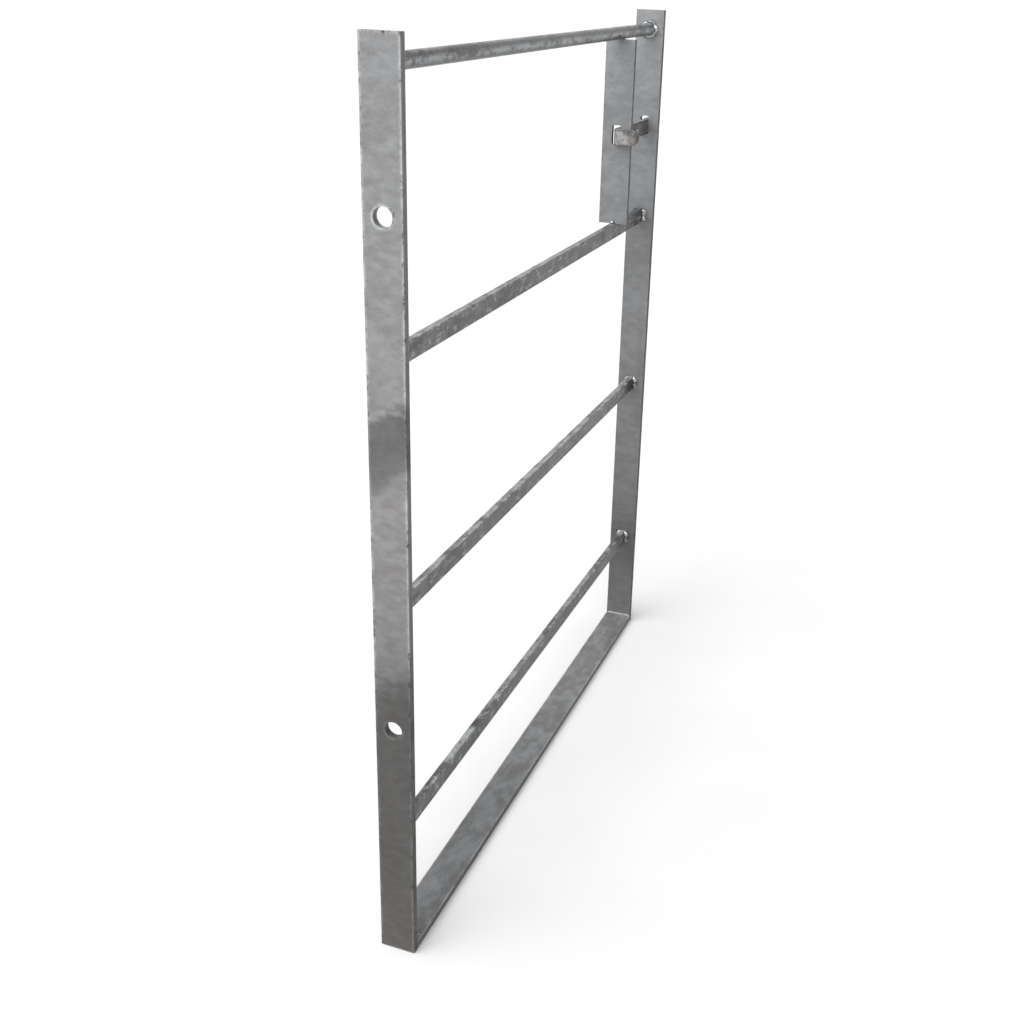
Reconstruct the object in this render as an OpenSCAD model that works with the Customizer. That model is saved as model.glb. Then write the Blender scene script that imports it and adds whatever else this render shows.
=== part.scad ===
// Garden gate in galvanised steel: flat bar frame, round top rail, three flat lower rails,
// and a sliding bolt carried in two slots.
// X runs from the hinge side to the latch side, the front faces -Y, Z is up.
// The origin is on the axis of the lower hinge hole, at the outer face of the hinge stile.

/* [Frame] */
// overall height, the length of both stiles
gate_h = 1190; // [900:5:1400]
// overall length, outer face to outer face of the stiles
gate_l = 1000; // [800:5:1500]
// width of the flat bar used for the frame
frame_w = 50; // [40:1:60]
// thickness of the flat bar used for the frame
frame_t = 10; // [8:0.5:12]
// radius on the long edges of every flat bar
edge_r = 1.0; // [0.5:0.1:1.5]

/* [Rails] */
// diameter of the round top rail
top_rail_d = 20; // [16:0.5:25]
// height of the flat lower rails
rail_h = 25; // [20:1:35]
// thickness of the flat lower rails
rail_t = 10; // [6:0.5:12]
// top of the stiles down to the middle of the top rail
rail_1_drop = 32; // [20:1:60]
// top of the bottom bar up to the middle of the lowest rail
rail_4_rise = 178; // [120:1:300]
// how much the space over the lowest rail is wider than the ones above it
last_pitch_extra = 4; // [0:1:40]

/* [Hinges] */
// diameter of the two holes for the hinge eye bolts
hinge_hole_d = 24; // [16:0.5:26]
// top of the stile down to the upper hinge hole
hinge_top_drop = 191; // [120:1:300]
// distance between the two hinge holes
hinge_spacing = 649; // [515:1:780]

/* [Latch] */
// inner face of the latch stile to the near face of the latch strip
strip_reach = 163; // [130:1:220]
// thickness of the latch strip
strip_t = 8; // [6:0.5:10]
// top of the stile down to the middle of the bolt
bolt_drop = 196.5; // [120:0.5:260]
// height of the bolt bar
bolt_h = 25; // [20:1:30]
// thickness of the bolt bar
bolt_t = 10; // [8:0.5:12]
// how far the shut bolt stands out past the latch stile
bolt_throw = 72; // [50:1:90]
// smallest gap between the shut bolt's handle and the latch strip
handle_gap = 1.2; // [1:0.1:6]
// reach of the handle, from the back of the bolt bar to the tip of the handle
handle_reach = 45; // [36:1:60]
// inside radius of the bend between bolt bar and handle
bend_r = 6; // [3:0.5:12]
// gap on each side of the bolt in its slots
slot_side_gap = 3; // [1:0.5:6]
// gap over the bolt in its slots
slot_top_gap = 6; // [2:0.5:10]
// gap under the bolt in its slots
slot_bottom_gap = 0.3; // [0.2:0.1:1]
// diameter of the stop pin through the bolt
pin_d = 6; // [4:0.5:8]
// how far the stop pin reaches past each side of the slot in the latch strip
pin_over = 2; // [1:0.5:5]
// how much of the bolt's nose stays in the latch stile when the bolt is drawn back
nose_stay = 2; // [0.5:0.5:6]

/* [Welds] */
// leg of the weld beads on the rails and the strip
weld_r = 5; // [2:0.5:7]
// leg of the weld beads in the two bottom corners
corner_weld_r = 3.5; // [2:0.5:5]

/* [Hidden] */
$fn = 64;
hinge_top_z = hinge_spacing;
top_z = hinge_top_z + hinge_top_drop;
low_z = top_z - gate_h;
inner_x = gate_l - frame_t;
rail_l = gate_l - 2 * frame_t;
rails_h = gate_h - frame_t - rail_1_drop - rail_4_rise;
rail_pitch = (rails_h - last_pitch_extra) / 3;
rail_1_z = top_z - rail_1_drop;
rail_2_z = rail_1_z - rail_pitch;
rail_3_z = rail_2_z - rail_pitch;
rail_4_z = low_z + frame_t + rail_4_rise;
bolt_z = top_z - bolt_drop;
bolt_low_z = bolt_z - bolt_h / 2;
strip_x = inner_x - strip_reach;
strip_back_x = strip_x + strip_t;
strip_low_z = rail_2_z + rail_h / 2;
strip_top_z = rail_1_z - top_rail_d / 2;
strip_l = strip_top_z - strip_low_z;
slot_w = bolt_t + 2 * slot_side_gap;
slot_h = bolt_h + slot_top_gap + slot_bottom_gap;
slot_low_z = bolt_low_z - slot_bottom_gap;
slot_top_r = 4;
slot_low_r = 1;
bend_clear = 0.5;
bend_over = max(0, bend_r - slot_side_gap);
bend_gap = bend_r - sqrt(pow(bend_r - bend_clear, 2) - pow(bend_over, 2));
handle_x = strip_x - max(handle_gap, bend_gap);
bend_out_r = bend_r + bolt_t;
bolt_start_x = handle_x - bolt_t + bend_out_r;
bolt_tip_x = gate_l + bolt_throw;
bolt_travel = bolt_throw + frame_t - nose_stay;
pin_x = strip_back_x + bolt_travel + pin_d / 2;
pin_l = slot_w + 2 * pin_over;
slack = 1;
strip_bead_rise = 1.2;
bead_end = 0.5;
bead_core = 1;
zinc = "#a7abac";
zinc_dark = "#8d9192";
bead = "#c3c6c7";

// flat bar section with rounded long edges, centred, w along x and t along y
module flat_section(w, t) {
    square([w - 2 * edge_r, t], center = true);
    square([w, t - 2 * edge_r], center = true);
    for (sx = [-1, 1], sy = [-1, 1])
        translate([sx * (w / 2 - edge_r), sy * (t / 2 - edge_r)])
            circle(r = edge_r);
}

// upright bar rising from z = 0, wide in y and thin in x, centred on x = y = 0
module upright(w, t, l) {
    rotate([0, 0, 90])
        linear_extrude(height = l)
            flat_section(w, t);
}

// level bar between the stiles, w in y and t in z, middle at height z
module level_bar(w, t, z) {
    translate([frame_t, 0, z])
        rotate([0, 90, 0])
            linear_extrude(height = rail_l)
                rotate([0, 0, 90])
                    flat_section(w, t);
}

// slot for the bolt through a plate whose middle is at x
module bolt_slot(x, t) {
    translate([x, 0, slot_low_z + slot_h / 2])
        rotate([0, 90, 0])
            linear_extrude(height = t + 2 * slack, center = true)
                slot_section();
}

// section of the slot, its height along x with the top at -x
module slot_section() {
    translate([slot_top_r - slot_h / 2, -slot_w / 2])
        square([slot_h - slot_top_r - slot_low_r, slot_w]);
    translate([-slot_h / 2, slot_top_r - slot_w / 2])
        square([slot_top_r + slack, slot_w - 2 * slot_top_r]);
    translate([slot_h / 2 - slot_low_r - slack, slot_low_r - slot_w / 2])
        square([slot_low_r + slack, slot_w - 2 * slot_low_r]);
    for (sy = [-1, 1]) {
        translate([slot_top_r - slot_h / 2, sy * (slot_w / 2 - slot_top_r)])
            circle(r = slot_top_r);
        translate([slot_h / 2 - slot_low_r, sy * (slot_w / 2 - slot_low_r)])
            circle(r = slot_low_r);
    }
}

// quarter round weld bead along +z from the origin, filling the corner x > 0, y > 0
module corner_bead(r, l) {
    taper = min(r, (l - bead_core) / 2);
    intersection() {
        union() {
            cylinder(r1 = bead_end * r, r2 = r, h = taper);
            translate([0, 0, taper])
                cylinder(r = r, h = l - 2 * taper);
            translate([0, 0, l - taper])
                cylinder(r1 = r, r2 = bead_end * r, h = taper);
        }
        cube([r + slack, r + slack, l + slack]);
    }
}

// ring bead round the end of the top rail, on the plane x = 0 and growing toward +x
module ring_bead() {
    rotate([0, 90, 0])
        rotate_extrude()
            translate([top_rail_d / 2, 0])
                intersection() {
                    circle(r = weld_r);
                    square(weld_r + slack);
                }
}

// two upright beads, in front of and behind the end of a flat rail
module rail_end_beads(z) {
    for (side = [0, 1])
        mirror([0, side, 0])
            translate([0, rail_t / 2, z - rail_h / 2])
                corner_bead(weld_r, rail_h);
}

// moves a piece drawn on the plane x = 0 to the inner face of the hinge stile
module hinge_side() {
    translate([frame_t, 0, 0])
        children();
}

// mirrors a piece drawn on the plane x = 0 to the inner face of the latch stile
module latch_side() {
    translate([inner_x, 0, 0])
        mirror([1, 0, 0])
            children();
}

module hinge_stile() {
    color(zinc)
        difference() {
            translate([frame_t / 2, 0, low_z])
                upright(frame_w, frame_t, gate_h);
            for (z = [0, hinge_top_z])
                translate([-slack, 0, z])
                    rotate([0, 90, 0])
                        cylinder(d = hinge_hole_d, h = frame_t + 2 * slack);
        }
}

module latch_stile() {
    color(zinc)
        difference() {
            translate([gate_l - frame_t / 2, 0, low_z])
                upright(frame_w, frame_t, gate_h);
            bolt_slot(gate_l - frame_t / 2, frame_t);
        }
}

module bottom_bar() {
    color(zinc)
        level_bar(frame_w, frame_t, low_z + frame_t / 2);
}

module rail_1() {
    color(zinc)
        translate([frame_t, 0, rail_1_z])
            rotate([0, 90, 0])
                cylinder(d = top_rail_d, h = rail_l);
}

module rail_2() {
    color(zinc)
        level_bar(rail_t, rail_h, rail_2_z);
}

module rail_3() {
    color(zinc)
        level_bar(rail_t, rail_h, rail_3_z);
}

module rail_4() {
    color(zinc)
        level_bar(rail_t, rail_h, rail_4_z);
}

module latch_strip() {
    color(zinc)
        difference() {
            translate([strip_x + strip_t / 2, 0, strip_low_z])
                upright(frame_w, strip_t, strip_l);
            bolt_slot(strip_x + strip_t / 2, strip_t);
        }
}

// plan of the bolt: straight bar, bend and handle, seen from above
module bolt_plan() {
    translate([bolt_start_x, -bolt_t / 2])
        square([bolt_tip_x - bolt_start_x, bolt_t]);
    intersection() {
        translate([bolt_start_x, bolt_t / 2 - bend_out_r])
            difference() {
                circle(r = bend_out_r);
                circle(r = bend_r);
            }
        translate([handle_x - bolt_t - slack, bolt_t / 2 - bend_out_r])
            square([bend_out_r + slack, bend_out_r + slack]);
    }
    translate([handle_x - bolt_t, bolt_t / 2 - handle_reach])
        square([bolt_t, handle_reach - bend_out_r]);
}

// side view of the bolt bar with its rounded nose
module bolt_side() {
    translate([handle_x - bolt_t - slack, -bolt_h / 2])
        square([bolt_tip_x - bolt_h - handle_x + bolt_t + slack, bolt_h]);
    intersection() {
        translate([bolt_tip_x - bolt_h, bolt_h / 2])
            circle(r = bolt_h);
        translate([bolt_tip_x - bolt_h, -bolt_h / 2])
            square(bolt_h);
    }
}

// end view of the bolt with its round handle tip
module bolt_end() {
    tip_y = bolt_t / 2 - handle_reach + bolt_h / 2;
    translate([tip_y, 0])
        circle(d = bolt_h);
    translate([tip_y, -bolt_h / 2])
        square([bolt_t - tip_y, bolt_h]);
}

module latch_bolt() {
    color(zinc_dark)
        difference() {
            intersection() {
                translate([0, 0, bolt_low_z])
                    linear_extrude(height = bolt_h)
                        bolt_plan();
                translate([0, bolt_t, bolt_z])
                    rotate([90, 0, 0])
                        linear_extrude(height = handle_reach + bolt_t)
                            bolt_side();
                translate([handle_x - 2 * bolt_t, 0, bolt_z])
                    rotate([90, 0, 90])
                        linear_extrude(height = bolt_tip_x - handle_x + 3 * bolt_t)
                            bolt_end();
            }
            translate([pin_x, 0, bolt_z])
                rotate([90, 0, 0])
                    cylinder(d = pin_d, h = bolt_t + 2 * slack, center = true);
        }
}

module stop_pin() {
    color(bead)
        translate([pin_x, 0, bolt_z])
            rotate([90, 0, 0])
                cylinder(d = pin_d, h = pin_l, center = true);
}

module weld_rail_1_hinge() {
    color(bead)
        hinge_side()
            translate([0, 0, rail_1_z])
                ring_bead();
}

module weld_rail_1_latch() {
    color(bead)
        latch_side()
            translate([0, 0, rail_1_z])
                ring_bead();
}

module weld_rail_2_hinge() {
    color(bead)
        hinge_side()
            rail_end_beads(rail_2_z);
}

module weld_rail_2_latch() {
    color(bead)
        latch_side()
            rail_end_beads(rail_2_z);
}

module weld_rail_3_hinge() {
    color(bead)
        hinge_side()
            rail_end_beads(rail_3_z);
}

module weld_rail_3_latch() {
    color(bead)
        latch_side()
            rail_end_beads(rail_3_z);
}

module weld_rail_4_hinge() {
    color(bead)
        hinge_side()
            rail_end_beads(rail_4_z);
}

module weld_rail_4_latch() {
    color(bead)
        latch_side()
            rail_end_beads(rail_4_z);
}

// bead across the inside of a bottom corner, along y
module bottom_corner_bead() {
    translate([0, frame_w / 2 - edge_r, low_z + frame_t])
        rotate([90, 0, 0])
            corner_bead(corner_weld_r, frame_w - 2 * edge_r);
}

module weld_corner_hinge() {
    color(bead)
        hinge_side()
            bottom_corner_bead();
}

module weld_corner_latch() {
    color(bead)
        latch_side()
            bottom_corner_bead();
}

// two beads of length l on the plane z = 0, on the near and far faces of the strip
module strip_bead_pair(l) {
    translate([strip_back_x, l / 2, 0])
        rotate([90, 0, 0])
            corner_bead(weld_r, l);
    translate([strip_x, -l / 2, 0])
        rotate([90, 0, 180])
            corner_bead(weld_r, l);
}

module weld_strip_bottom() {
    color(bead)
        translate([0, 0, strip_low_z])
            strip_bead_pair(rail_t - 2 * edge_r);
}

// the beads rise past the strip's top edge and are cut back to the round rail
module weld_strip_top() {
    color(bead)
        difference() {
            translate([0, 0, strip_top_z + strip_bead_rise])
                mirror([0, 0, 1])
                    strip_bead_pair(2 * weld_r + slack);
            translate([0, 0, rail_1_z])
                rotate([0, 90, 0])
                    cylinder(d = top_rail_d, h = gate_l);
        }
}

hinge_stile();
latch_stile();
bottom_bar();
rail_1();
rail_2();
rail_3();
rail_4();
latch_strip();
latch_bolt();
stop_pin();
weld_rail_1_hinge();
weld_rail_1_latch();
weld_rail_2_hinge();
weld_rail_2_latch();
weld_rail_3_hinge();
weld_rail_3_latch();
weld_rail_4_hinge();
weld_rail_4_latch();
weld_corner_hinge();
weld_corner_latch();
weld_strip_top();
weld_strip_bottom();
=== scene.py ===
"""Looks of the galvanised garden gate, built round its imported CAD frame."""
import math

import bpy
from mathutils import Matrix, Vector, noise


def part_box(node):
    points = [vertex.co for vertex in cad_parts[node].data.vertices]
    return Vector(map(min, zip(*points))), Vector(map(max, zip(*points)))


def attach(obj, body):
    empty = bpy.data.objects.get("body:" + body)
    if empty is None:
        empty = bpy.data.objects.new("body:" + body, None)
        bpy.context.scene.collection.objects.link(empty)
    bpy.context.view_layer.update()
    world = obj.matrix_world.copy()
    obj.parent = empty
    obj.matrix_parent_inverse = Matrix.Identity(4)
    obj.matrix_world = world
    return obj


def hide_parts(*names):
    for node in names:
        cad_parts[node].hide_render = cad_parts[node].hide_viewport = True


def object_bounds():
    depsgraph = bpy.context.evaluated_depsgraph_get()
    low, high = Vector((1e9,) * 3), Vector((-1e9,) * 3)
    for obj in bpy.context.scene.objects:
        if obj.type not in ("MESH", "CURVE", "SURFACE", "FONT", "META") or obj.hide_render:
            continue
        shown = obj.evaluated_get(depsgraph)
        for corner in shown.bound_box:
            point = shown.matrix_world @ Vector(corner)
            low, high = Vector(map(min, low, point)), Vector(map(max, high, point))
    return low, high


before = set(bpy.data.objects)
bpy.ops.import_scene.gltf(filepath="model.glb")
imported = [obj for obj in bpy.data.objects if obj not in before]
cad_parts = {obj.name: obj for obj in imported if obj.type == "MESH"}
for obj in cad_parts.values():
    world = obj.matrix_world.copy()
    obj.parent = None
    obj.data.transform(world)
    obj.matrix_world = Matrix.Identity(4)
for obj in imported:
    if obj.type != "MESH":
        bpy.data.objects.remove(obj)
cad_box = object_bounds()
scene = bpy.context.scene

FRAME_BODY = "gate_frame"
MM = 0.001

# Legs of the weld beads
ROUND_RAIL_LEG = 6.4 * MM
FLAT_RAIL_LEG = 8.0 * MM
CORNER_LEG = 3.6 * MM
STRIP_LOW_LEG = 4.6 * MM
STRIP_TOP_LEG = 4.8 * MM

# How far a bead runs past a flat rail's edges, or stops short of a bar's edges
RAIL_BEAD_PAST = 0.5 * MM
CORNER_BEAD_SHORT = 1.2 * MM
STRIP_BEAD_SHORT = 0.8 * MM

# The beads on the strip's top meet the round rail a little way up its side
STRIP_TOP_HALF = 4.5 * MM
STRIP_TOP_RISE = 1.0 * MM

# Frozen drops of zinc
DROP_RISE = 0.55
DROP_SINK = 0.3 * MM
RAIL_DROP_RADIUS = 1.3

FLOOR_HALF = 60
FLOOR_GAP = 0.001


# ---------------------------------------------------------------- node trees

class Tree:
    """A material's node tree with short calls for the nodes used here."""

    def __init__(self, name):
        self.mat = bpy.data.materials.new(name)
        self.mat.use_nodes = True
        self.tree = self.mat.node_tree
        self.tree.nodes.clear()
        self.coords = self.add("ShaderNodeTexCoord")
        self.place = self.coords.outputs["Object"]
        self.normal = self.coords.outputs["Normal"]

    def add(self, kind, values=None, **settings):
        made = self.tree.nodes.new(kind)
        for key, value in settings.items():
            setattr(made, key, value)
        for key, value in (values or {}).items():
            if isinstance(value, bpy.types.NodeSocket):
                self.tree.links.new(value, made.inputs[key])
            else:
                made.inputs[key].default_value = value
        return made

    def math(self, operation, a, b=0.0, clamp=False):
        return self.add("ShaderNodeMath", {0: a, 1: b}, operation=operation, use_clamp=clamp).outputs[0]

    def vector(self, operation, a, b):
        return self.add("ShaderNodeVectorMath", {0: a, 1: b}, operation=operation).outputs[0]

    def split(self, vector):
        return self.add("ShaderNodeSeparateXYZ", {0: vector}).outputs

    def spread(self, value, low, high, to_low=0.0, to_high=1.0):
        """Smooth step of value from low..high to to_low..to_high."""
        values = {0: value, 1: low, 2: high, 3: to_low, 4: to_high}
        return self.add("ShaderNodeMapRange", values, interpolation_type="SMOOTHSTEP").outputs[0]

    def total(self, *terms):
        """The sum of each value times its share."""
        result = 0.0
        for value, share in terms:
            values = {0: value, 1: share, 2: result}
            result = self.add("ShaderNodeMath", values, operation="MULTIPLY_ADD").outputs[0]
        return result

    def ramp(self, value, stops):
        """Greys along a value: stops of (spot, level, warmth)."""
        made = self.add("ShaderNodeValToRGB", {0: value})
        elements = made.color_ramp.elements
        for spot, level, warmth in stops:
            elements.new(spot).color = grey(level, warmth)
        elements.remove(elements[0])
        elements.remove(elements[-1])
        return made.outputs[0]

    def noise(self, scale, detail=3.0, rough=0.55, stretch=(1, 1, 1), shift=(0, 0, 0)):
        at = self.vector("MULTIPLY", self.vector("ADD", self.place, shift), stretch)
        values = {"Vector": at, "Scale": scale, "Detail": detail, "Roughness": rough}
        return self.add("ShaderNodeTexNoise", values).outputs[0]

    def cells(self, scale, stretch=(1, 1, 1)):
        """A random grey for each crystal-like cell."""
        at = self.vector("MULTIPLY", self.place, stretch)
        found = self.add("ShaderNodeTexVoronoi", {"Vector": at, "Scale": scale, "Randomness": 1.0})
        return self.split(found.outputs["Color"])[0]

    def mix(self, amount, a, b, how="MIX"):
        values = {"Factor": amount, 6: a, 7: b}
        return self.add("ShaderNodeMix", values, data_type="RGBA", blend_type=how).outputs[2]

    def near_edge(self, reach):
        """How near a point is to a sharp edge: zero from reach on, and about 0.3 on a square edge."""
        rounded = self.add("ShaderNodeBevel", {"Radius": reach})
        rounded.samples = 6
        true_normal = self.add("ShaderNodeNewGeometry").outputs["True Normal"]
        both = {0: rounded.outputs[0], 1: true_normal}
        same = self.add("ShaderNodeVectorMath", both, operation="DOT_PRODUCT").outputs["Value"]
        return self.math("SUBTRACT", 1.0, same)

    def finish(self, color, rough, bump, metallic, bump_depth=0.15, bump_reach=0.0006, ior=1.5):
        bumped = self.add("ShaderNodeBump", {"Height": bump, "Strength": bump_depth, "Distance": bump_reach})
        values = {"Base Color": color, "Roughness": rough, "Metallic": metallic, "IOR": ior,
                  "Normal": bumped.outputs[0]}
        shader = self.add("ShaderNodeBsdfPrincipled", values)
        out = self.add("ShaderNodeOutputMaterial")
        self.tree.links.new(shader.outputs[0], out.inputs["Surface"])
        return self.mat


def grey(level, warm=0.0):
    """A zinc grey, cooler below zero warmth and warmer above it."""
    return (level * (1 + warm), level, level * (1 - warm), 1.0)


def zinc(name, light, dark, warm=-0.02, grain=(1, 1, 1), face_shading=None, shade_and_stains=None, edge_light_or_shade=1.5, metallic=0.35,
         rough=(0.40, 0.62), glints_and_streaks=0.0, fine=0.08, pits=0.8, edge_reach=4 * MM):
    """Hot-dip zinc: cloudy mottling, faint crystals, pitted edges, and a painted highlight or painted shade
    along the edges.

    Per-face factors paint light and shade onto named faces. The ramp along a bar, (axis, low, high, slant,
    levels), paints shade and stains along it.
    """
    t = Tree(name)
    patch = t.noise(7, 3, 0.5, grain, (0.3, 0.1, 0.2))
    cloud = t.noise(30, 5, 0.62, grain)
    ripple = t.noise(90, 4, 0.65, grain, (0.1, 0.6, 0.4))
    crystal = t.cells(110, grain)
    dust = t.noise(1100, 2, 0.6)
    tone = t.spread(t.total((cloud, 0.5), (patch, 0.2), (ripple, 0.3)), 0.43, 0.57)
    color = t.mix(tone, grey(dark, warm + 0.015), grey(light, warm))
    # Painted shade and stains along the bar: a grey ramp over its length.
    if shade_and_stains:
        axis, low, high, slant, levels = shade_and_stains
        place = t.split(t.place)
        along = t.add("ShaderNodeMapRange", {0: place[axis], 1: low[axis], 2: high[axis]}).outputs[0]
        along = t.total((along, 1.0), (patch, 0.10), (ripple, 0.03), (place[1], slant), (-0.065, 1.0))
        color = t.mix(1.0, color, t.ramp(along, levels), "MULTIPLY")
    gain = t.spread(t.total((ripple, 0.45), (crystal, 0.08), (dust, 0.47)), 0.38, 0.62, 1 - fine, 1 + fine)
    # Painted light and shade by face: named faces are lightened or darkened by which way they face, tops
    # lighter and fronts darker.
    back, top = t.split(t.normal)[1:3]
    faces = {"front": (back, -1), "back": (back, 1), "top": (top, 1)}
    for face, share in (face_shading or {}).items():
        way, sign = faces[face]
        facing = t.spread(t.math("MULTIPLY", way, sign), 0.4, 0.9)
        gain = t.math("MULTIPLY", gain, t.total((facing, share - 1.0), (1.0, 1.0)))
    gain = t.add("ShaderNodeCombineXYZ", {0: gain, 1: gain, 2: gain}).outputs[0]
    color = t.mix(1.0, color, gain, "MULTIPLY")
    if glints_and_streaks:
        # Painted glints: bright specks in the colour stand in for highlights on the zinc, with dark streaks
        # among them.
        spots = t.spread(t.noise(85, 5, 0.72, grain, (0.9, 0.3, 0.5)), 0.53, 0.64)
        color = t.mix(t.math("MULTIPLY", spots, glints_and_streaks), color, grey(light * 1.9, warm))
        streaks = t.spread(t.noise(60, 5, 0.72, grain, (0.2, 0.8, 0.1)), 0.54, 0.64)
        color = t.mix(t.math("MULTIPLY", streaks, glints_and_streaks), color, grey(dark * 0.42, warm))
    edge = t.near_edge(edge_reach)
    patchy = t.noise(26, 4, 0.7, (1, 1, 1), (0.5, 0.2, 0.9))
    # Painted highlight or painted shade along the sharp edges, patchy along their length: the edge factor
    # lightens them above one and darkens them below one.
    painted_edge_band = t.spread(t.total((edge, 1.0), (t.noise(420, 3, 0.65), 0.12)), 0.078, 0.105)
    painted_edge_band = t.math("MULTIPLY", painted_edge_band, t.spread(patchy, 0.40, 0.56, 0.25, 1.0))
    color = t.mix(painted_edge_band, color, t.mix(1.0, color, grey(edge_light_or_shade), "MULTIPLY"))
    speckle = t.spread(t.noise(280, 3, 0.75, (1, 1, 0.5), (0.7, 0.4, 0.1)), 0.52, 0.60)
    pit = t.math("MULTIPLY", speckle, t.spread(edge, 0.002, 0.03))
    pit = t.math("MULTIPLY", pit, t.spread(patchy, 0.42, 0.60, 1.0, 0.2))
    color = t.mix(t.math("MULTIPLY", pit, pits), color, grey(0.018, 0.05))
    roughness = t.spread(t.total((cloud, 0.5), (ripple, 0.3), (dust, 0.2)), 0.42, 0.58, rough[0], rough[1])
    height = t.total((cloud, 0.4), (ripple, 0.6), (dust, 0.2), (crystal, 0.04), (pit, -0.8))
    return t.finish(color, roughness, height, metallic, 0.45)


def round_zinc(name):
    """Zinc on the round rail: lumpy and shiny, with painted reflection bands, pale along its top and dark and
    bright below, over a mottled grey.
    """
    t = Tree(name)
    cloud = t.noise(40, 5, 0.65, (0.5, 1, 1))
    lumps = t.noise(130, 5, 0.72, (0.6, 1, 1), (0.4, 0.2, 0.7))
    dust = t.noise(1100, 2, 0.6)
    mottle = t.total((cloud, 0.4), (lumps, 0.5), (dust, 0.1))
    color = t.mix(t.spread(mottle, 0.43, 0.57), grey(0.045, -0.03), grey(0.22, -0.03))
    # Painted reflection: the grey bands follow how far the surface faces up, pale along the top.
    turn = t.total((t.split(t.normal)[2], 0.5), (lumps, 0.16), (0.42, 1.0))
    reflection_bands = [(0.001, 0.5, 0.0), (0.18, 0.6, 0.0), (0.30, 1.0, 0.0), (0.46, 1.5, -0.01), (0.60, 1.2, -0.01),
             (0.74, 0.6, 0.0), (0.88, 0.7, 0.01), (0.97, 1.3, 0.01), (0.999, 1.5, 0.0)]
    color = t.mix(1.0, color, t.ramp(turn, reflection_bands), "MULTIPLY")
    roughness = t.spread(mottle, 0.42, 0.58, 0.26, 0.46)
    height = t.total((cloud, 0.6), (lumps, 0.8), (dust, 0.15))
    return t.finish(color, roughness, height, 0.55, 0.7, 0.0012)


# ------------------------------------------------------------------ geometry

def make_piece(name, points, faces, material, body, slot):
    mesh = bpy.data.meshes.new(name)
    mesh.from_pydata(points, [], faces)
    mesh.validate()
    mesh.polygons.foreach_set("use_smooth", [True] * len(mesh.polygons))
    mesh.materials.append(material)
    made = bpy.data.objects.new(name, mesh)
    scene.collection.objects.link(made)
    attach(made, body)
    return made


def bead_mesh(path, leg, seed, closed=False, lump=11 * MM, sink=0.35 * MM):
    """Points and faces of a hand-laid fillet.

    path holds (corner, a, b): the corner point and the directions of the two walls.
    """
    points, faces = [], []
    sides = 12
    reach = 0.0
    for i, (corner, a, b) in enumerate(path):
        if i:
            reach += (corner - path[i - 1][0]).length
        share = i / (len(path) - 1)
        swell = 1.0 if closed else min(1.0, (1.02 - abs(2 * share - 1)) * 3.2) ** 0.5
        wave = abs(math.sin(math.pi * reach / lump)) ** 0.7
        ring = [corner - (a + b) * sink]
        for j in range(sides + 1):
            turn = math.radians(90 * j / sides)
            out = a * math.cos(turn) + b * math.sin(turn)
            rough = noise.noise((corner + out * leg) * 260 + Vector((seed, 0, 0)))
            bulge = 0.86 + 0.18 * math.sin(2 * turn)
            size = leg * swell * (bulge * (0.58 + 0.46 * wave) + 0.16 * rough)
            low = -sink * (b if j == 0 else a if j == sides else Vector())
            ring.append(corner + out * size + low)
        points += ring
    count = sides + 2
    rings = len(path)
    for i in range(rings if closed else rings - 1):
        here, there = i * count, (i + 1) % rings * count
        for j in range(count):
            k = (j + 1) % count
            faces.append((here + j, here + k, there + k, there + j))
    if not closed:
        faces.append(tuple(reversed(range(count))))
        faces.append(tuple(range((rings - 1) * count, rings * count)))
    return points, faces


def join(parts):
    points, faces = [], []
    for more_points, more_faces in parts:
        start = len(points)
        points += more_points
        faces += [tuple(start + k for k in face) for face in more_faces]
    return points, faces


def straight(start, end, a, b, step=0.6 * MM):
    count = max(8, round((end - start).length / step))
    return [(start.lerp(end, i / count), a, b) for i in range(count + 1)]


def round_corner(centre, radius, away, steps=110):
    """A circle of corner points round the x axis, where a round bar meets an upright face."""
    path = []
    for i in range(steps):
        turn = 2 * math.pi * i / steps
        out = Vector((0, math.cos(turn), math.sin(turn)))
        path.append((centre + out * radius, away, out))
    return path


# ----------------------------------------------------------------- materials

# Painted shade and stains along each bar, from its low end: (share of its length, grey level, warmth). The
# uprights are painted darker low down, where the ground shades them.
NEAR_LEVELS = [(0.001, 0.32, 0.05), (0.10, 0.29, 0.04), (0.30, 0.285, 0.03), (0.335, 0.36, 0.02),
               (0.365, 0.60, 0.015), (0.46, 0.84, 0.015), (0.53, 0.92, 0.015), (0.572, 0.95, 0.015),
               (0.582, 0.56, 0.0), (0.62, 0.46, -0.01), (0.651, 0.48, -0.01), (0.662, 0.92, 0.0),
               (0.72, 0.95, 0.0), (0.80, 0.98, -0.01), (0.999, 0.93, -0.01)]
FAR_LEVELS = [(0.001, 0.66, 0.02), (0.04, 0.52, 0.02), (0.10, 0.40, 0.02), (0.19, 0.42, 0.02),
              (0.26, 0.55, 0.01), (0.35, 0.66, 0.0), (0.52, 0.72, 0.0), (0.64, 0.74, -0.01),
              (0.78, 0.96, -0.02), (0.88, 1.03, -0.02), (0.999, 1.12, 0.0)]
STRIP_LEVELS = [(0.001, 0.86, 0.0), (0.30, 0.87, 0.0), (0.60, 0.92, -0.01), (0.999, 1.05, -0.01)]
BOTTOM_LEVELS = [(0.001, 1.05, -0.01), (0.08, 0.95, -0.01), (0.25, 0.85, -0.01), (0.40, 0.95, -0.01),
                 (0.70, 1.2, 0.0), (0.999, 1.15, 0.0)]
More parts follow.
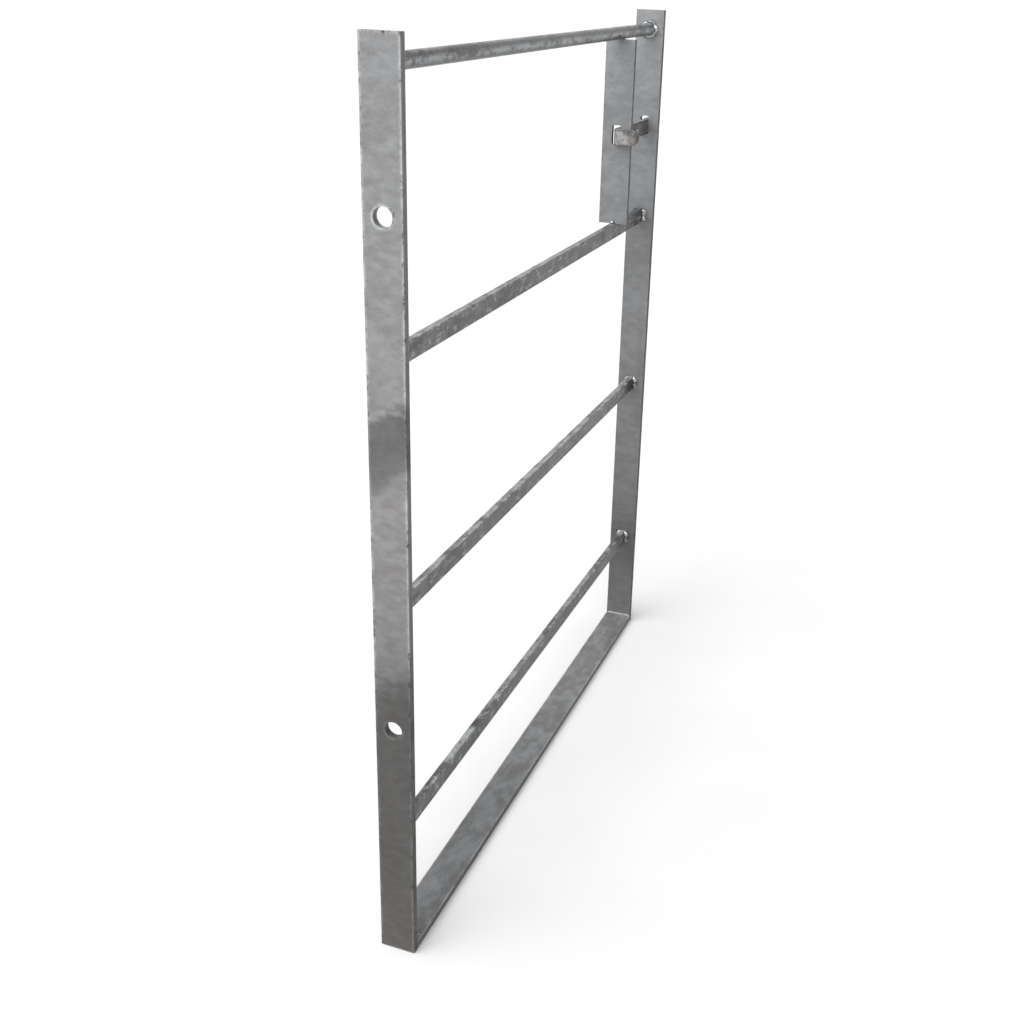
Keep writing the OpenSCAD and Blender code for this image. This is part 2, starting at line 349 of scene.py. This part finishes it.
RAIL_LEVELS = {"rail_2": [(0.001, 1.25, 0.01), (0.30, 1.0, 0.0), (0.60, 0.78, -0.01), (0.999, 0.62, -0.02)],
               "rail_3": [(0.001, 1.2, 0.0), (0.30, 1.0, 0.0), (0.999, 1.0, 0.0)],
               "rail_4": [(0.001, 1.2, 0.0), (0.12, 0.98, 0.0), (0.30, 0.88, 0.0), (0.999, 0.85, 0.0)]}
# Painted light and shade on the rails' faces: tops lighter, fronts and backs darker.
RAIL_FACE_SHADING = {"top": 1.35, "front": 0.62, "back": 0.7}
ALONG_X, ALONG_Z = 0, 2
UPRIGHT, LEVEL = (1, 0.6, 1.1), (0.6, 1, 1)

# Front factors paint shade onto front faces. Edge factors above one paint a highlight along the edges, and
# below one paint a shade, as on the bolt.
mat_hinge_stile = zinc("zinc_hinge_stile", 0.242, 0.210, -0.01, UPRIGHT, {"front": 0.45},
                       (ALONG_Z, *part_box("hinge_stile"), 0.4, NEAR_LEVELS), 2.0, fine=0.12, pits=1.0,
                       edge_reach=7 * MM)
mat_latch_stile = zinc("zinc_latch_stile", 0.235, 0.200, -0.02, UPRIGHT, {"front": 0.15},
                       (ALONG_Z, *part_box("latch_stile"), 0.3, FAR_LEVELS), 1.1)
mat_latch_strip = zinc("zinc_latch_strip", 0.237, 0.20, -0.03, UPRIGHT, {"front": 0.15},
                       (ALONG_Z, *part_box("latch_strip"), 0.2, STRIP_LEVELS), 1.1)
mat_bottom = zinc("zinc_bottom_bar", 0.145, 0.115, -0.02, LEVEL, {"front": 0.6},
                  (ALONG_X, *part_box("bottom_bar"), 0.2, BOTTOM_LEVELS), 2.4, fine=0.14, pits=0.3)
mat_rails = {"rail_1": round_zinc("zinc_rail_1")}
for name, levels in RAIL_LEVELS.items():
    mat_rails[name] = zinc("zinc_" + name, 0.19, 0.06, -0.03, LEVEL, RAIL_FACE_SHADING,
                           (ALONG_X, *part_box(name), 0.0, levels), 1.7, 0.45, (0.28, 0.52),
                           glints_and_streaks=0.55, fine=0.2, pits=0.4)
mat_bolt = zinc("zinc_bolt", 0.26, 0.12, 0.03, face_shading={"front": 0.36}, edge_light_or_shade=0.25, metallic=0.4, fine=0.22,
                edge_reach=6 * MM)
mat_pin = zinc("zinc_pin", 0.45, 0.30, metallic=0.7, rough=(0.25, 0.4), edge_light_or_shade=0.6)
mat_seam = zinc("zinc_seam", 0.42, 0.30, metallic=0.3, rough=(0.25, 0.45), edge_light_or_shade=1.0, fine=0.2, pits=0.0)
mat_bead = zinc("zinc_bead", 0.42, 0.11, metallic=0.85, rough=(0.10, 0.28), edge_light_or_shade=1.0, fine=0.2, pits=0.0)

node_materials = {
    "hinge_stile": mat_hinge_stile,
    "latch_stile": mat_latch_stile,
    "latch_strip": mat_latch_strip,
    "bottom_bar": mat_bottom,
    "latch_bolt": mat_bolt,
    "stop_pin": mat_pin,
    **mat_rails,
}
for name, material in node_materials.items():
    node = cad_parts[name]
    node.data.materials.clear()
    node.data.materials.append(material)


# --------------------------------------------------------------------- welds

stile_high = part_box("hinge_stile")[1]
far_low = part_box("latch_stile")[0]
stile_walls = {"hinge": (stile_high.x, Vector((1, 0, 0))), "latch": (far_low.x, Vector((-1, 0, 0)))}
up = Vector((0, 0, 1))
seed = 1
for side, (wall, away) in stile_walls.items():
    low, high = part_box("rail_1")
    radius = (high.z - low.z) / 2
    centre = Vector((wall, 0, (low.z + high.z) / 2))
    node = "weld_rail_1_" + side
    ring = bead_mesh(round_corner(centre, radius, away), ROUND_RAIL_LEG, seed, True,
                     math.pi * radius / 2.5)
    piece = make_piece("bead_rail_1_" + side, *ring, mat_bead, FRAME_BODY, "weld_bead")
    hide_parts(node)
    seed += 1
    for rail in ("rail_2", "rail_3", "rail_4"):
        low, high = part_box(rail)
        pair = []
        for face, out in ((low.y, Vector((0, -1, 0))), (high.y, Vector((0, 1, 0)))):
            start = Vector((wall, face, low.z - RAIL_BEAD_PAST))
            end = Vector((wall, face, high.z + RAIL_BEAD_PAST))
            path = straight(start, end, away, out)
            pair.append(bead_mesh(path, FLAT_RAIL_LEG, seed, False, (end - start).length / 2))
            seed += 1
        bead_name = "bead_" + rail + "_" + side
        piece = make_piece(bead_name, *join(pair), mat_bead, FRAME_BODY, "weld_bead")
        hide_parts("weld_" + rail + "_" + side)
    bar_low, bar_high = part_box("bottom_bar")
    start = Vector((wall, bar_low.y + CORNER_BEAD_SHORT, bar_high.z))
    end = Vector((wall, bar_high.y - CORNER_BEAD_SHORT, bar_high.z))
    seam = bead_mesh(straight(start, end, away, up), CORNER_LEG, seed, False, 5 * MM)
    piece = make_piece("bead_corner_" + side, *seam, mat_seam, FRAME_BODY, "weld_bead")
    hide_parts("weld_corner_" + side)
    seed += 1

strip_low, strip_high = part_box("latch_strip")
strip_walls = ((strip_low.x, Vector((-1, 0, 0))), (strip_high.x, Vector((1, 0, 0))))
low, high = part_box("rail_2")
pair = []
for wall, away in strip_walls:
    start = Vector((wall, low.y + STRIP_BEAD_SHORT, strip_low.z))
    end = Vector((wall, high.y - STRIP_BEAD_SHORT, strip_low.z))
    pair.append(bead_mesh(straight(start, end, away, up), STRIP_LOW_LEG, seed))
    seed += 1
piece = make_piece("bead_strip_bottom", *join(pair), mat_bead, FRAME_BODY, "weld_bead")
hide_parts("weld_strip_bottom")
pair = []
for wall, away in strip_walls:
    start = Vector((wall, -STRIP_TOP_HALF, strip_high.z + STRIP_TOP_RISE))
    end = Vector((wall, STRIP_TOP_HALF, strip_high.z + STRIP_TOP_RISE))
    pair.append(bead_mesh(straight(start, end, away, -up), STRIP_TOP_LEG, seed))
    seed += 1
piece = make_piece("bead_strip_top", *join(pair), mat_bead, FRAME_BODY, "weld_bead")
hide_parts("weld_strip_top")


# --------------------------------------------------------------------- drops

def drop(place, out, radius, seed):
    """A drop of zinc that froze on a face: a low dome sunk a little into it. out is the face's normal."""
    across = out.orthogonal().normalized()
    along = out.cross(across)
    rings, sides = 5, 12
    points = [place + out * radius * DROP_RISE]
    for i in range(1, rings + 1):
        tilt = math.radians(18 * i)
        for j in range(sides):
            turn = 2 * math.pi * j / sides
            wide = radius * math.sin(tilt) * (1 + 0.12 * math.sin(2 * turn + seed))
            side = across * math.cos(turn) + along * math.sin(turn)
            points.append(place + side * wide + out * radius * DROP_RISE * math.cos(tilt))
    points += [p - out * DROP_SINK for p in points[-sides:]]
    faces = [(0, 1 + j, 1 + (j + 1) % sides) for j in range(sides)]
    for i in range(rings):
        here, there = 1 + i * sides, 1 + (i + 1) * sides
        for j in range(sides):
            k = (j + 1) % sides
            faces.append((here + j, there + j, there + k, here + k))
    last = 1 + rings * sides
    faces.append(tuple(reversed(range(last, last + sides))))
    return points, faces


# In mm, on the bottom bar: from its hinge end, from its front, and radius. On a rail: from its hinge end.
bar_low, bar_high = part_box("bottom_bar")
drops = []
for from_end, from_front, radius in ((14, 5, 1.9), (38, 4, 1.6), (44, 6, 1.2), (210, 9, 1.1), (640, 38, 1.2)):
    place = Vector((bar_low.x + from_end * MM, bar_low.y + from_front * MM, bar_high.z))
    drops.append(drop(place, up, radius * MM, from_end))
for name, spots in {"rail_2": (120, 410, 690, 905), "rail_3": (240, 870), "rail_4": (330, 790)}.items():
    low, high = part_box(name)
    for from_end in spots:
        place = Vector((low.x + from_end * MM, low.y, low.z + (6 + from_end % 13) * MM))
        drops.append(drop(place, Vector((0, -1, 0)), RAIL_DROP_RADIUS * MM, from_end))
make_piece("zinc_drops", *join(drops), mat_bead, FRAME_BODY, "weld_bead")


# ------------------------------------------------------------ floor and light

ground = cad_box[0].z - FLOOR_GAP
floor_mesh = bpy.data.meshes.new("floor")
floor_signs = ((-1, -1), (1, -1), (1, 1), (-1, 1))
floor_corners = [(x * FLOOR_HALF, y * FLOOR_HALF, ground) for x, y in floor_signs]
floor_mesh.from_pydata(floor_corners, [], [(0, 1, 2, 3)])
floor = bpy.data.objects.new("floor", floor_mesh)
scene.collection.objects.link(floor)
t = Tree("floor_paint")
paper = t.noise(3.0, 3)
tint = t.mix(t.spread(paper, 0.3, 0.7), grey(0.52), grey(0.54))
floor_mesh.materials.append(t.finish(tint, 0.9, t.noise(60, 2), 0.0, 0.02))

world = bpy.data.worlds.new("studio")
scene.world = world
world.use_nodes = True
tree = world.node_tree
tree.nodes.clear()
where = tree.nodes.new("ShaderNodeTexCoord")
parts = tree.nodes.new("ShaderNodeSeparateXYZ")
fade = tree.nodes.new("ShaderNodeMapRange")
fade.interpolation_type = "SMOOTHSTEP"
# Full light from low down, half from the top
fade.inputs[1].default_value = 0.30
fade.inputs[2].default_value = 0.60
fade.inputs[3].default_value = 1.0
fade.inputs[4].default_value = 0.5
glow = tree.nodes.new("ShaderNodeBackground")
glow.inputs[0].default_value = (1, 1, 1, 1)
sky = tree.nodes.new("ShaderNodeOutputWorld")
tree.links.new(where.outputs["Generated"], parts.inputs[0])
tree.links.new(parts.outputs[2], fade.inputs[0])
tree.links.new(fade.outputs[0], glow.inputs[1])
tree.links.new(glow.outputs[0], sky.inputs[0])


def soft_sun(name, toward, strength, angle):
    lamp = bpy.data.lights.new(name, "SUN")
    lamp.energy = strength
    lamp.angle = angle
    made = bpy.data.objects.new(name, lamp)
    made.rotation_euler = Vector(toward).to_track_quat("Z", "Y").to_euler()
    scene.collection.objects.link(made)


soft_sun("key", (-0.45, 0.25, 0.85), 5.0, 1.2)

scene.view_settings.view_transform = "Standard"
scene.view_settings.look = "None"
scene.view_settings.exposure = 0.0
scene.view_settings.gamma = 1.0


# -------------------------------------------------------------------- camera

def look(place, yaw, pitch, roll, lens, shift_x, shift_y):
    """A camera at a place, turned by yaw, pitch and roll in radians."""
    ahead = Vector((math.cos(pitch) * math.cos(yaw), math.cos(pitch) * math.sin(yaw), math.sin(pitch)))
    right = Vector((math.sin(yaw), -math.cos(yaw), 0))
    above = right.cross(ahead)
    side = right * math.cos(roll) + above * math.sin(roll)
    top = above * math.cos(roll) - right * math.sin(roll)
    data = bpy.data.cameras.new("camera")
    data.sensor_width = 36
    data.lens = lens
    data.shift_x, data.shift_y = shift_x, shift_y
    data.clip_start, data.clip_end = 0.05, 200
    made = bpy.data.objects.new("camera", data)
    made.matrix_world = Matrix.Translation(place) @ Matrix((side, top, -ahead)).transposed().to_4x4()
    scene.collection.objects.link(made)
    scene.camera = made


look(Vector((-1.1782, -0.6270, 0.9091)), yaw=0.3372, pitch=-0.3682, roll=0.0337, lens=43.410,
     shift_x=-0.05, shift_y=-0.070)
